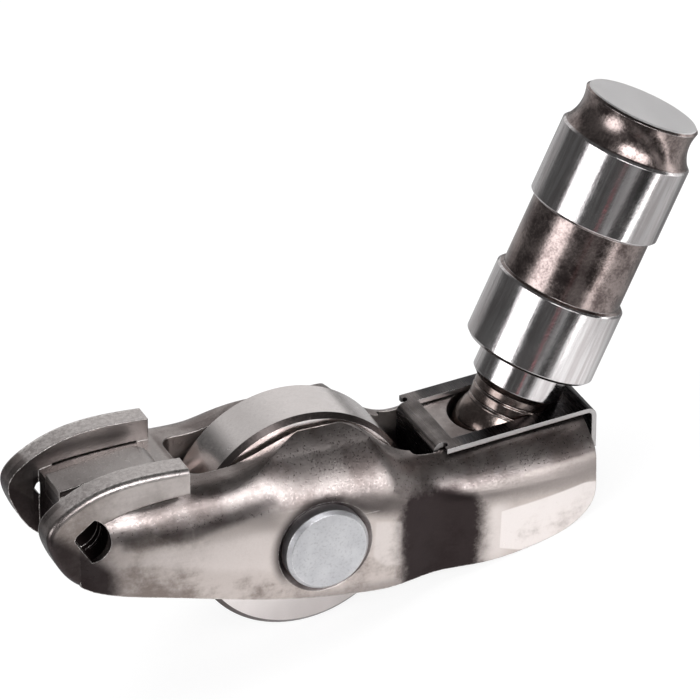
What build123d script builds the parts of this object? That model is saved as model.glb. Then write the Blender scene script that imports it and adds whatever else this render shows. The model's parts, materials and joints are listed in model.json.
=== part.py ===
from build123d import *

import math
import os

# Roller rocker arm (finger follower) with its hydraulic lash adjuster, in millimetres.
# Arm axes, used by every function here: origin at the middle of the roller's axle, +X to the
# tail that holds the adjuster, +Y along the axle, +Z out of the web on the adjuster's side.

# Formed sheet
SHEET = 3.0
BEND_INSIDE = 0.4
BEND_OUTSIDE = 3.2
CROWN_SHEET = 1.9
NOSE_SHEET = 2.4
NOSE_X = -24.8
WEB_FRONT_X = -22.0
TAIL_X = 26.2
NOSE_HALF_WIDTH = 6.05
AXLE_HALF_WIDTH = 7.8
WAIST_HALF_WIDTH = 6.7
WAIST_X = 11.2
TAIL_HALF_WIDTH = 7.6
OVERRUN = 0.4
REACH = 80

# Height of the web's face over the axle, along the arm
WEB_FRONT_Z = 6.7
WEB_NOSE_Z = 7.3
CREST_BELOW_TREAD = 0.8
SHOULDER_BELOW_TREAD = 1.0
CREST_X = 1.5
SEAT_X = 12.6
SEAT_Z = 4.75
SEAT_SLOPE = 0.0725

# Lower edges of the side walls
WALL_DEPTH_AXLE = 5.3
WALL_DEPTH_WAIST = 5.8
WALL_DEPTH_NOSE = 1.6
NOSE_LOW_Z = -0.5
TAIL_FOOT_Z = -4.6
TAIL_FOOT_X = 20.6

# Guide rails and pad for the valve stem
RAIL_END_X = -11.8
RAIL_TOP_Z = 9.5
RAIL_GAP = 0.12
RAIL_FOOT_LENGTH = 1.1
RAIL_EDGE_R = 0.5
FOLD_LENGTH = 1.2
END_WALL_DEPTH = 4.0
END_WALL_LOW_Z = 0.4
EYE_X = -20.9
EYE_Z = 4.55
EYE_WIDTH = 3.1
EYE_HEIGHT = 4.0
PAD_HALF_WIDTH = 1.65
PAD_RISE = 0.8
PAD_END_X = -13.5
PAD_ROOT = 1.0
PAD_FRONT_DROP = 0.4
EYE_STEP = 0.2

# Roller, needle bearing and axle pin
ROLLER_R = 10.4
ROLLER_WIDTH = 6.0
ROLLER_EDGE = 0.45
PIN_TO_ROLLER = 0.37
PIN_LENGTH = 17.3
PIN_EDGE = 0.35
PIN_SEAT_GAP = 0.01
PIN_HOLE_CHAMFER = 0.55
NEEDLE_TO_PIN = 0.208
NEEDLE_COUNT = 18
BEARING_GAP = 0.02
NEEDLE_END_GAP = 0.2
WASHER_GAP = 0.1
WASHER_TOP_GAP = 0.1

# Window in the web for the roller
WINDOW_FRONT_GAP = 0.6
WINDOW_REAR_GAP = 2.1
WINDOW_SIDE_GAP = 0.4
WINDOW_CORNER_R = 1.3

# Ball socket
BALL_X = 19.64
BALL_Z = 3.22
BALL_R = 4.0
SOCKET_GAP = 0.05
SOCKET_WALL = 1.8
SOCKET_MOUTH_R = 4.3
NECK_CLEARANCE = 0.12
SOCKET_OIL_R = 0.7
SOCKET_RIM_REACH = 1.5
LEAN = 25.5

# Retaining clip
CLIP_SHEET = 0.45
CLIP_LIFT = 0.15
CLIP_HALF_WIDTH = 5.2
CLIP_TAB_HALF_WIDTH = 3.95
CLIP_TAB_SIDE_GAP = 0.2
CLIP_FRONT_GAP = 0.15
CLIP_REAR_GAP = 0.45
CLIP_BEND_R = 0.35
CLIP_FRONT_DROP = 3.6
CLIP_REAR_DROP = 3.4
CLIP_FRONT_BAR = 1.3
CLIP_GRIP_R = 3.65
CLIP_NOTCH_R = 0.4

# Lash adjuster, along its own axis from the ball's centre
NECK_R = 3.45
NECK_END = 4.1
NECK_GROOVES = (2.3, 3.35)
NECK_GROOVE_WIDTH = 0.34
NECK_GROOVE_DEPTH = 0.16
PLUNGER_R = 4.13
COLLAR_START = 4.8
BODY_START = 7.46
BODY_R = 6.0
BODY_EDGE = 0.3
LOWER_BAND = 6.98
GROOVE_LENGTH = 7.07
GROOVE_R = 5.5
GROOVE_FLANK = 0.15
UPPER_BAND = 7.27
HEAD_LENGTH = 3.46
HEAD_WAIST_R = 5.15
HEAD_R = 5.3
BORE_GAP = 0.03
BODY_FLOOR = 2.3
STROKE = 1.2
RELIEF_R = 3.6
RELIEF_FLANK = 0.3
SHOULDER_START = 10.4
UPPER_PLUNGER_END = 15.9
CAVITY_R = 2.3
CAVITY_START = 1.6
OIL_HOLE_R = 0.6
SEAM_GAP = 0.05
LOWER_PLUNGER_LENGTH = 5.6
VALVE_SEAT_R = 1.0
VALVE_SEAT_DEPTH = 1.1
CHECK_BALL_R = 1.2
CHECK_BALL_TRAVEL = 0.25
CAGE_SHEET = 0.25
CAGE_R = 1.95
CAGE_FLANGE_R = 3.95
CAGE_VENT_R = 0.4
CHECK_SPRING_WIRE = 0.16
CHECK_SPRING_R = 0.6
CHECK_SPRING_TURNS = 2.5
SPRING_WIRE = 0.65
SPRING_R = 3.35
SPRING_TURNS = 4.5
RING_WIRE_R = 0.32
FEED_HOLE_R = 1.0

# Values that follow from the sizes above
PIN_R = PIN_TO_ROLLER * ROLLER_R
NEEDLE_R = NEEDLE_TO_PIN * PIN_R
CREST_Z = ROLLER_R - CREST_BELOW_TREAD
WINDOW_HALF_WIDTH = ROLLER_WIDTH / 2 + WINDOW_SIDE_GAP
WINDOW_FRONT_X = -ROLLER_R - WINDOW_FRONT_GAP
WINDOW_REAR_X = ROLLER_R + WINDOW_REAR_GAP
SHOULDER_Z = ROLLER_R - SHOULDER_BELOW_TREAD - math.sqrt(AXLE_HALF_WIDTH ** 2 - WINDOW_HALF_WIDTH ** 2)
RACE_R = PIN_R + 2 * NEEDLE_R + 2 * BEARING_GAP
NEEDLE_PITCH_R = PIN_R + NEEDLE_R + BEARING_GAP
WALL_INSIDE = AXLE_HALF_WIDTH - SHEET
SHOULDER_INSIDE_R = AXLE_HALF_WIDTH - CROWN_SHEET
WASHER_OUTER_R = SHOULDER_Z + math.sqrt(SHOULDER_INSIDE_R ** 2 - WALL_INSIDE ** 2) - WASHER_TOP_GAP
BORE_R = PLUNGER_R + BORE_GAP
GROOVE_START = BODY_START + LOWER_BAND
UPPER_BAND_START = GROOVE_START + GROOVE_LENGTH
HEAD_START = UPPER_BAND_START + UPPER_BAND
BODY_END = HEAD_START + HEAD_LENGTH
RELIEF_START = SHOULDER_START - STROKE - 2 * RING_WIRE_R - RELIEF_FLANK
LOWER_PLUNGER_START = UPPER_PLUNGER_END + SEAM_GAP
LOWER_PLUNGER_END = LOWER_PLUNGER_START + LOWER_PLUNGER_LENGTH
CHECK_BALL_AT = LOWER_PLUNGER_END + math.sqrt(CHECK_BALL_R ** 2 - VALVE_SEAT_R ** 2) + SEAM_GAP / 2
CHECK_SPRING_LENGTH = CHECK_SPRING_WIRE * (CHECK_SPRING_TURNS + 1) + CHECK_BALL_TRAVEL
RING_AT = SHOULDER_START - RING_WIRE_R - SEAM_GAP
RING_R = BORE_R + SEAM_GAP / 2
CLIP_OPENING_X = WINDOW_REAR_X + CLIP_FRONT_BAR


def seat_z(x):
    """Height of the clip's flat seat on the web at x."""
    return SEAT_Z + SEAT_SLOPE * (x - SEAT_X)


def turned(points, axis=Axis.Z):
    """Turned piece from half its section, as (radius, place) points."""
    return revolve(Plane.XZ * make_face(Polyline(*points, points[0])), axis)


def across(face, half_width):
    """Solid of an XZ face pushed out to both sides of the middle plane."""
    return extrude(face, amount=half_width, both=True)


def behind(x):
    """Cutter for everything on the tail's side of x."""
    return Pos(x + REACH / 2, 0, 0) * Box(REACH, REACH, REACH)


def middle_part(half_width):
    """Cutter for everything within half_width of the middle plane."""
    return Box(2 * REACH, 2 * half_width, REACH)


def web_points():
    """Place, height and sheet thickness of the web along the arm."""
    rise = CREST_Z - WEB_NOSE_Z
    fall = CREST_Z - SEAT_Z
    return [
        (WEB_FRONT_X, WEB_FRONT_Z, NOSE_SHEET),
        (WEB_FRONT_X + 3.2, WEB_NOSE_Z - 0.2, NOSE_SHEET),
        (WEB_FRONT_X + 7.0, WEB_NOSE_Z, NOSE_SHEET),
        (WINDOW_FRONT_X - 0.4, WEB_NOSE_Z, SHEET),
        (CREST_X - 8.6, WEB_NOSE_Z + 0.05, SHEET),
        (CREST_X - 5.1, WEB_NOSE_Z + 0.5 * rise, SHEET),
        (CREST_X - 2.2, CREST_Z - 0.2, SHEET),
        (CREST_X + 0.6, CREST_Z, SHEET),
        (CREST_X + 3.4, CREST_Z - 0.2 * fall, SHEET),
        (CREST_X + 5.8, SEAT_Z + 0.34 * fall, SHEET),
        (WAIST_X - 1.8, SEAT_Z + 0.35, SHEET),
        (SEAT_X, seat_z(SEAT_X), SHEET),
        (SEAT_X + 4.0, seat_z(SEAT_X + 4.0), SHEET),
        (TAIL_X - 4.0, seat_z(TAIL_X - 4.0), SHEET),
        (TAIL_X + OVERRUN, seat_z(TAIL_X + OVERRUN), SHEET),
    ]


def plan_points():
    """Place, half width and sheet thickness of the side walls along the arm."""
    flare = AXLE_HALF_WIDTH - NOSE_HALF_WIDTH
    return [
        (WEB_FRONT_X, NOSE_HALF_WIDTH, NOSE_SHEET),
        (WEB_FRONT_X + 3.5, NOSE_HALF_WIDTH + 0.55 * flare, NOSE_SHEET),
        (WEB_FRONT_X + 7.5, AXLE_HALF_WIDTH - 0.1 * flare, SHEET),
        (-2 * PIN_R, AXLE_HALF_WIDTH, SHEET),
        (-PIN_R, AXLE_HALF_WIDTH, SHEET),
        (0, AXLE_HALF_WIDTH, SHEET),
        (0.8 * PIN_R, AXLE_HALF_WIDTH, SHEET),
        (WASHER_OUTER_R, AXLE_HALF_WIDTH - 0.02, SHEET),
        (WAIST_X - 2.8, (AXLE_HALF_WIDTH + WAIST_HALF_WIDTH) / 2, SHEET),
        (WAIST_X, WAIST_HALF_WIDTH, SHEET),
        (WAIST_X + 3.3, (TAIL_HALF_WIDTH + WAIST_HALF_WIDTH) / 2, SHEET),
        (WAIST_X + 6.8, TAIL_HALF_WIDTH, SHEET),
        (TAIL_X - 3.0, TAIL_HALF_WIDTH, SHEET),
        (TAIL_X + OVERRUN, TAIL_HALF_WIDTH - 0.4, SHEET),
    ]


def formed_block(inner):
    """Solid under the web's surface and between the walls' faces, outer or one sheet inside."""
    floor = -ROLLER_R - SHEET * (1 + inner)
    web = Spline(*[(x, z - sheet * inner) for x, z, sheet in web_points()])
    ends = Polyline(web @ 1, (TAIL_X + OVERRUN, floor), (WEB_FRONT_X, floor), web @ 0)
    side = across(Plane.XZ * make_face([web, ends]), 2 * AXLE_HALF_WIDTH)
    wall = Spline(*[(x, y - sheet * inner) for x, y, sheet in plan_points()])
    far = mirror(wall, Plane.XZ)
    plan = make_face([wall, Line(wall @ 1, far @ 1), far, Line(far @ 0, wall @ 0)])
    block = side & extrude(plan, amount=REACH, both=True)
    upper = [e for e in block.edges() if e.length > TAIL_X and e.center().Z > 0]
    bends = [e for e in upper if abs(e.center().Y) > AXLE_HALF_WIDTH / 2]
    block = fillet(bends, BEND_INSIDE if inner else BEND_OUTSIDE)
    radius = SHOULDER_INSIDE_R if inner else AXLE_HALF_WIDTH
    crown = Pos(0, 0, SHOULDER_Z) * Rot(0, 90, 0) * Cylinder(radius, 2 * REACH)
    under = Pos(0, 0, SHOULDER_Z - REACH) * Box(2 * REACH, REACH, 2 * REACH)
    return block & (crown + under)


def channel():
    """The formed channel: the outer block less the one that lies a sheet inside it."""
    return formed_block(0) - formed_block(1)


def side_outline():
    """Side view of the arm with its rails, nose, lower edges and tail, as one closed face."""
    rails_and_nose = Spline(
        (RAIL_END_X, RAIL_TOP_Z - 0.1),
        (RAIL_END_X - 4.0, RAIL_TOP_Z + 0.05),
        (RAIL_END_X - 7.8, RAIL_TOP_Z - 0.4),
        (NOSE_X + 2.3, RAIL_TOP_Z - 1.55),
        (NOSE_X, EYE_Z + 1.1),
        (NOSE_X + 0.45, EYE_Z - 1.1),
        (NOSE_X + 2.1, NOSE_LOW_Z + 1.3),
        (NOSE_X + 4.2, NOSE_LOW_Z),
    )
    lower_edge = Spline(
        (NOSE_X + 4.2, NOSE_LOW_Z),
        (NOSE_X + 9.4, -WALL_DEPTH_NOSE),
        (CREST_X - 8.5, -WALL_DEPTH_AXLE + 1.6),
        (CREST_X, -WALL_DEPTH_AXLE),
        (WAIST_X - 2.2, -WALL_DEPTH_WAIST),
        (TAIL_FOOT_X - 4.6, -WALL_DEPTH_WAIST + 0.3),
        (TAIL_FOOT_X, TAIL_FOOT_Z),
        (TAIL_X - 1.9, TAIL_FOOT_Z + 1.3),
        (TAIL_X - 0.2, TAIL_FOOT_Z + 3.1),
        (TAIL_X, TAIL_FOOT_Z + 5.2),
        (TAIL_X - 0.35, SEAT_Z),
        tangents=[rails_and_nose % 1, (-0.25, 1)],
    )
    lid = Polyline(
        (TAIL_X - 0.35, SEAT_Z),
        (TAIL_X - 0.35, RAIL_TOP_Z + 3),
        (RAIL_END_X, RAIL_TOP_Z + 3),
        (RAIL_END_X, RAIL_TOP_Z - 0.1),
    )
    return Plane.XZ * make_face([rails_and_nose, lower_edge, lid])


def guide_rails():
    """The two folded-back tongues: hooks round the nose that end over the web as rails."""
    hook = across(side_outline(), NOSE_HALF_WIDTH)
    hook -= behind(RAIL_END_X)
    rims = [e for e in hook.edges() if abs(abs(e.center().Y) - NOSE_HALF_WIDTH) < 0.01]
    hook = fillet([e for e in rims if e.center().X < RAIL_END_X - RAIL_GAP], RAIL_EDGE_R)
    hook -= (Pos(0, 0, RAIL_GAP) * formed_block(0)) & behind(WEB_FRONT_X + FOLD_LENGTH)
    rails = hook - middle_part(NOSE_HALF_WIDTH - NOSE_SHEET)
    for side in (-1, 1):
        middle = side * (NOSE_HALF_WIDTH - NOSE_SHEET / 2)
        foot = Pos(RAIL_END_X - RAIL_FOOT_LENGTH / 2, middle, WEB_NOSE_Z)
        rails += foot * Box(RAIL_FOOT_LENGTH, NOSE_SHEET, 4 * RAIL_GAP)
    return rails


def end_wall():
    """Front end of the web, turned down between the two hooks."""
    height = WEB_FRONT_Z - END_WALL_LOW_Z - BEND_INSIDE
    middle_x = WEB_FRONT_X + END_WALL_DEPTH / 2
    width = 2 * (NOSE_HALF_WIDTH - NOSE_SHEET) + 2 * BEND_INSIDE
    return Pos(middle_x, 0, END_WALL_LOW_Z + height / 2) * Box(END_WALL_DEPTH, width, height)


def eye_hole():
    """Cutter for the open eye that the fold leaves behind the nose."""
    half = EYE_HEIGHT / 2
    front = EYE_X - EYE_WIDTH / 2
    rear = EYE_X + EYE_WIDTH / 2
    outline = Polyline(
        (EYE_X + 0.3, EYE_Z + half),
        (front + 0.2, EYE_Z + 0.75),
        (front, EYE_Z + 0.3),
        (EYE_X - 0.1, EYE_Z - half),
    )
    back = ThreePointArc((EYE_X - 0.1, EYE_Z - half), (rear, EYE_Z), (EYE_X + 0.3, EYE_Z + half))
    hole = across(Plane.XZ * make_face([outline, back]), REACH)
    return hole - middle_part(NOSE_HALF_WIDTH - NOSE_SHEET - EYE_STEP)


def valve_pad():
    """Raised strip between the rails, crowned along its length, that presses on the valve stem."""
    top = WEB_NOSE_Z + PAD_RISE
    front_x = WEB_FRONT_X - RAIL_GAP
    front_z = top - 2 * PAD_FRONT_DROP
    end_x = PAD_END_X + PAD_ROOT
    end_z = WEB_NOSE_Z - PAD_ROOT / 5
    crown = Spline(
        (front_x, front_z),
        (WEB_FRONT_X + 2.9, top - PAD_FRONT_DROP),
        (PAD_END_X - 2.2, top),
        (PAD_END_X, top - PAD_RISE / 40),
        (end_x, end_z),
    )
    base = Polyline(
        (end_x, end_z),
        (end_x, WEB_NOSE_Z - PAD_ROOT),
        (front_x, front_z - 2 * PAD_ROOT),
        (front_x, front_z),
    )
    return across(Plane.XZ * make_face([crown, base]), PAD_HALF_WIDTH)


def roller_window():
    """Cutter for the window in the web that the roller stands in."""
    length = WINDOW_REAR_X - WINDOW_FRONT_X
    middle = (WINDOW_REAR_X + WINDOW_FRONT_X) / 2
    outline = RectangleRounded(length, 2 * WINDOW_HALF_WIDTH, WINDOW_CORNER_R)
    tab_width = 2 * (CLIP_TAB_HALF_WIDTH + CLIP_TAB_SIDE_GAP)
    tab_room = RectangleRounded(2 * WINDOW_CORNER_R, tab_width, WINDOW_CORNER_R / 3)
    window = Pos(middle, 0, 0) * extrude(outline, amount=REACH)
    return window + Pos(WINDOW_REAR_X - WINDOW_CORNER_R, 0, 0) * extrude(tab_room, amount=REACH)


def socket_dome():
    """Outside of the ball socket, drawn down out of the web, kept inside the walls."""
    outside_r = BALL_R + SOCKET_GAP + SOCKET_WALL
    dome = Pos(BALL_X, 0, BALL_Z) * Sphere(outside_r)
    keep = Box(4 * outside_r, 2 * TAIL_HALF_WIDTH - SHEET, 2 * outside_r)
    return dome & (Pos(BALL_X, 0, seat_z(BALL_X) - SHEET / 2 - outside_r) * keep)


def socket_cavity():
    """Cutter for the ball socket: half a sphere, a flared mouth and an oil hole."""
    cup_r = BALL_R + SOCKET_GAP
    mouth = seat_z(BALL_X) - BALL_Z
    reach = mouth + SOCKET_RIM_REACH
    flare = (SOCKET_MOUTH_R - cup_r) / mouth
    middle = (cup_r * math.sin(math.pi / 4), -cup_r * math.cos(math.pi / 4))
    cup = ThreePointArc((0, -cup_r), middle, (cup_r, 0))
    rim = Polyline((cup_r, 0), (cup_r + flare * reach, reach), (0, reach), (0, -cup_r))
    solid = revolve(Plane.XZ * make_face([cup, rim]), Axis.Z)
    oil = Pos(0, 0, -cup_r) * Cylinder(SOCKET_OIL_R, 3 * SOCKET_WALL)
    relief = turned([
        (0, 0),
        (NECK_R + NECK_CLEARANCE, 0),
        (NECK_R + NECK_CLEARANCE, NECK_END - NECK_CLEARANCE),
        (PLUNGER_R + NECK_CLEARANCE, COLLAR_START - NECK_CLEARANCE),
        (PLUNGER_R + NECK_CLEARANCE, BODY_START),
        (0, BODY_START),
    ])
    return Pos(BALL_X, 0, BALL_Z) * (solid + oil) + in_socket(relief)


def pin_holes():
    """Cutter for the axle's holes through both walls, with their outer chamfers."""
    r = PIN_R + PIN_SEAT_GAP
    face = AXLE_HALF_WIDTH
    half = [
        (0, 0),
        (r, 0),
        (r, face - PIN_HOLE_CHAMFER),
        (r + 2 * PIN_HOLE_CHAMFER, face + PIN_HOLE_CHAMFER),
        (0, face + PIN_HOLE_CHAMFER),
        (0, 0),
    ]
    one = revolve(make_face(Polyline(*half)), Axis.Y)
    return one + mirror(one, Plane.XZ)


def rocker_body():
    """The arm itself: one piece of formed sheet."""
    body = channel() & across(side_outline(), REACH)
    body += guide_rails()
    body += end_wall()
    body += valve_pad()
    body += socket_dome()
    body -= eye_hole()
    body -= roller_window()
    body -= socket_cavity()
    body -= pin_holes()
    return body


def on_axle(piece):
    """Turns a piece made along Z so that it lies along the axle."""
    return Rot(90, 0, 0) * piece


def axle_pin():
    """Plain pin with chamfered ends."""
    pin = Cylinder(PIN_R, PIN_LENGTH)
    return on_axle(chamfer(pin.edges(), PIN_EDGE))


def roller():
    """Outer ring of the needle bearing, which the cam runs on."""
    half = ROLLER_WIDTH / 2
    edge = ROLLER_EDGE
    bore_edge = ROLLER_EDGE / 2
    ring = turned([
        (RACE_R, bore_edge - half),
        (RACE_R + bore_edge, -half),
        (ROLLER_R - edge, -half),
        (ROLLER_R, edge - half),
        (ROLLER_R, half - edge),
        (ROLLER_R - edge, half),
        (RACE_R + bore_edge, half),
        (RACE_R, half - bore_edge),
    ])
    return on_axle(ring)


def needle_roller(index):
    """One needle of the full set between the pin and the roller."""
    angle = 360 * index / NEEDLE_COUNT
    length = ROLLER_WIDTH - NEEDLE_END_GAP
    needle = Cylinder(NEEDLE_R, length)
    needle = fillet(needle.edges(), NEEDLE_R / 4)
    return on_axle(Rot(0, 0, angle) * Pos(NEEDLE_PITCH_R, 0, 0) * needle)


def side_washer(side):
    """Washer that fills the space between roller and wall and keeps the needles in."""
    thickness = WALL_INSIDE - ROLLER_WIDTH / 2 - 2 * WASHER_GAP
    ring = Cylinder(WASHER_OUTER_R, thickness) - Cylinder(PIN_R + BEARING_GAP, thickness)
    offset = ROLLER_WIDTH / 2 + WASHER_GAP + thickness / 2
    return on_axle(Pos(0, 0, -side * offset) * ring)


def retaining_clip():
    """Spring clip: a flat frame on the web with a tab down into the window and one over the tail."""
    front = WINDOW_REAR_X - CLIP_FRONT_GAP - CLIP_SHEET
    rear = TAIL_X + CLIP_REAR_GAP + CLIP_SHEET
    outer = [
        (front, seat_z(front) - CLIP_FRONT_DROP),
        (front, seat_z(front) + CLIP_LIFT + CLIP_SHEET),
        (rear, seat_z(rear) + CLIP_LIFT + CLIP_SHEET),
        (rear, seat_z(rear) - CLIP_REAR_DROP),
    ]
    inner = [
        (rear - CLIP_SHEET, seat_z(rear) - CLIP_REAR_DROP),
        (rear - CLIP_SHEET, seat_z(rear) + CLIP_LIFT),
        (front + CLIP_SHEET, seat_z(front) + CLIP_LIFT),
        (front + CLIP_SHEET, seat_z(front) - CLIP_FRONT_DROP),
    ]
    strip = make_face(Polyline(*outer, *inner, outer[0]))
    for places, radius in ((outer[1:3], CLIP_BEND_R + CLIP_SHEET), (inner[1:3], CLIP_BEND_R)):
        strip = fillet([strip.vertices().sort_by_distance((x, z, 0))[0] for x, z in places], radius)
    clip = across(Plane.XZ * strip, CLIP_HALF_WIDTH)
    notch_x = front + CLIP_SHEET + CLIP_BEND_R
    for side in (-1, 1):
        notch = Pos(notch_x, side * (CLIP_TAB_HALF_WIDTH + CLIP_NOTCH_R), 0) * Cylinder(CLIP_NOTCH_R, REACH)
        beside = Pos(notch_x - CLIP_HALF_WIDTH, side * (CLIP_TAB_HALF_WIDTH + CLIP_HALF_WIDTH), 0)
        clip -= notch + beside * Box(2 * CLIP_HALF_WIDTH, 2 * CLIP_HALF_WIDTH, REACH)
    lean = math.radians(LEAN)
    level = seat_z(TAIL_X) + CLIP_LIFT + CLIP_SHEET - BALL_Z
    slot_end = BALL_X + level * math.tan(lean) + PLUNGER_R / math.cos(lean) + NECK_CLEARANCE
    slot_length = slot_end - CLIP_GRIP_R - CLIP_OPENING_X
    slot = Pos(slot_end - CLIP_GRIP_R, 0, 0) * Cylinder(CLIP_GRIP_R, REACH)
    slot += Pos(CLIP_OPENING_X + slot_length / 2, 0, 0) * Box(slot_length, 2 * CLIP_GRIP_R, REACH)
    return clip - slot


def plunger_ball_head():
    """Upper plunger: the ball head, neck and collar, hollow behind an oil hole."""
    ball_end = math.sqrt(BALL_R ** 2 - NECK_R ** 2)
    tip = math.sqrt(BALL_R ** 2 - OIL_HOLE_R ** 2)
    ball = ThreePointArc((OIL_HOLE_R, -tip), (BALL_R, 0), (NECK_R, ball_end))
    half = NECK_GROOVE_WIDTH / 2
    neck_places = [(NECK_R, ball_end)]
    for at in NECK_GROOVES:
        neck_places += [(NECK_R, at - half), (NECK_R - NECK_GROOVE_DEPTH, at), (NECK_R, at + half)]
    neck = Polyline(*neck_places, (NECK_R, NECK_END))
    flare = Line((NECK_R, NECK_END), (PLUNGER_R, COLLAR_START))
    rest = Polyline(
        (PLUNGER_R, COLLAR_START),
        (PLUNGER_R, RELIEF_START),
        (RELIEF_R, RELIEF_START + RELIEF_FLANK),
        (RELIEF_R, SHOULDER_START),
        (PLUNGER_R, SHOULDER_START),
        (PLUNGER_R, UPPER_PLUNGER_END),
        (CAVITY_R, UPPER_PLUNGER_END),
        (CAVITY_R, CAVITY_START + CAVITY_R / 2),
        (OIL_HOLE_R, CAVITY_START),
        (OIL_HOLE_R, -tip),
    )
    solid = revolve(Plane.XZ * make_face([ball, neck, flare, rest]), Axis.Z)
    port_at = (RELIEF_START + SHOULDER_START) / 2
    port = Pos(0, 0, port_at) * Rot(90, 0, 0) * Cylinder(OIL_HOLE_R, 2 * BODY_R)
    return solid - (port - Pos(0, -BODY_R, port_at) * Box(2 * BODY_R, 2 * BODY_R, BODY_R))


def lower_plunger():
    """Lower plunger: a cup whose end wall carries the check valve's seat."""
    start = LOWER_PLUNGER_START
    end = LOWER_PLUNGER_END
    return turned([
        (CAVITY_R, start),
        (PLUNGER_R, start),
        (PLUNGER_R, end),
        (VALVE_SEAT_R, end),
        (VALVE_SEAT_R, end - VALVE_SEAT_DEPTH),
        (CAVITY_R, end - VALVE_SEAT_DEPTH),
    ])


def check_valve_cage():
    """Pressed cap that holds the check ball and its spring against the seat."""
    start = LOWER_PLUNGER_END + SEAM_GAP
    depth = CHECK_BALL_AT + CHECK_BALL_R + CHECK_SPRING_LENGTH + CAGE_SHEET + SEAM_GAP
    return turned([
        (CAGE_R, start),
        (CAGE_FLANGE_R, start),
        (CAGE_FLANGE_R, start + CAGE_SHEET),
        (CAGE_R + CAGE_SHEET, start + CAGE_SHEET),
        (CAGE_R + CAGE_SHEET, depth),
        (CAGE_VENT_R, depth),
        (CAGE_VENT_R, depth - CAGE_SHEET),
        (CAGE_R, depth - CAGE_SHEET),
    ])


def check_ball():
    """Ball that shuts the valve seat."""
    return Pos(0, 0, CHECK_BALL_AT) * Sphere(CHECK_BALL_R)


def coil(wire_r, mean_r, start, length, turns):
    """Round-wire coil spring between two places along the axis."""
    free = length - 2 * wire_r
    path = Pos(0, 0, start + wire_r) * Helix(free / turns, free, mean_r)
    section = Plane(origin=path @ 0, z_dir=path % 0) * Circle(wire_r)
    return sweep(section, path)


def check_ball_spring():
    """Small spring behind the check ball."""
    start = CHECK_BALL_AT + CHECK_BALL_R + SEAM_GAP / 2
    return coil(CHECK_SPRING_WIRE / 2, CHECK_SPRING_R, start, CHECK_SPRING_LENGTH, CHECK_SPRING_TURNS)


def plunger_spring():
    """Spring on the body's floor that pushes the plungers out."""
    start = LOWER_PLUNGER_END + SEAM_GAP + CAGE_SHEET + SEAM_GAP
    length = BODY_END - BODY_FLOOR - SEAM_GAP - start
    return coil(SPRING_WIRE / 2, SPRING_R, start, length, SPRING_TURNS)


def retaining_ring():
    """Wire ring in the bore that stops the plunger's shoulder."""
    return Pos(0, 0, RING_AT) * Torus(RING_R, RING_WIRE_R)


def lifter_body():
    """Adjuster's outer body: two ground bands, a supply groove and a closed, waisted head."""
    bands = [
        (BORE_R, BODY_START + BODY_EDGE / 2),
        (BORE_R + BODY_EDGE / 2, BODY_START),
        (BODY_R - BODY_EDGE, BODY_START),
        (BODY_R, BODY_START + BODY_EDGE),
        (BODY_R, GROOVE_START - BODY_EDGE / 2),
        (BODY_R - BODY_EDGE / 2, GROOVE_START),
        (GROOVE_R, GROOVE_START + GROOVE_FLANK),
        (GROOVE_R, UPPER_BAND_START - GROOVE_FLANK),
        (BODY_R - BODY_EDGE / 2, UPPER_BAND_START),
        (BODY_R, UPPER_BAND_START + BODY_EDGE / 2),
        (BODY_R, HEAD_START - BODY_EDGE),
        (BODY_R - BODY_EDGE, HEAD_START),
    ]
    sides = Polyline(*bands)
    waist = Spline(
        (BODY_R - BODY_EDGE, HEAD_START),
        (HEAD_WAIST_R, HEAD_START + HEAD_LENGTH * 0.4),
        (HEAD_R, BODY_END - BODY_EDGE),
    )
    floor = BODY_END - BODY_FLOOR
    inside = Polyline(
        (HEAD_R, BODY_END - BODY_EDGE),
        (HEAD_R - BODY_EDGE, BODY_END),
        (0, BODY_END),
        (0, floor),
        (BORE_R, floor),
        (BORE_R, BODY_START + BODY_EDGE / 2),
    )
    body = revolve(Plane.XZ * make_face([sides, waist, inside]), Axis.Z)
    body -= Pos(0, 0, RING_AT) * Torus(RING_R, RING_WIRE_R + SEAM_GAP)
    feed_at = (GROOVE_START + UPPER_BAND_START) / 2
    return body - Pos(0, BODY_R, feed_at) * Rot(90, 0, 0) * Cylinder(FEED_HOLE_R, BODY_R)


def in_socket(piece):
    """Places an adjuster piece with the ball in its socket, leaning to its stop."""
    return Pos(BALL_X, 0, BALL_Z) * Rot(0, LEAN, 0) * piece


def rest_tilt():
    """Angle by which the tail drops when the arm lies on its roller and the tail's lower edges."""
    lower = max(side_outline().edges(), key=lambda e: e.length if e.center().Z < 0 else 0)
    angles = []
    steps = 400
    for i in range(steps + 1):
        p = lower @ (i / steps)
        if p.X > ROLLER_R:
            reach = math.hypot(p.X, p.Z)
            angles.append(math.atan2(p.Z, p.X) + math.asin(ROLLER_R / reach))
    return math.degrees(min(angles))


def main():
    """Builds every piece, lays the assembly on the table and writes one STEP file for each."""
    pieces = {
        "rocker_body": rocker_body(),
        "axle_pin": axle_pin(),
        "roller": roller(),
        "near_side_washer": side_washer(-1),
        "far_side_washer": side_washer(1),
        "retaining_clip": retaining_clip(),
        "plunger_ball_head": in_socket(plunger_ball_head()),
        "lower_plunger": in_socket(lower_plunger()),
        "check_ball": in_socket(check_ball()),
        "check_ball_spring": in_socket(check_ball_spring()),
        "check_valve_cage": in_socket(check_valve_cage()),
        "plunger_spring": in_socket(plunger_spring()),
        "retaining_ring": in_socket(retaining_ring()),
        "lifter_body": in_socket(lifter_body()),
    }
    for index in range(NEEDLE_COUNT):
        pieces[f"needle_roller_{index + 1:02d}"] = needle_roller(index)
    lying = Pos(0, 0, ROLLER_R) * Rot(0, rest_tilt(), 0)
    os.makedirs("parts", exist_ok=True)
    for name, piece in pieces.items():
        export_step(lying * piece, f"parts/{name}.step")


main()
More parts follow.
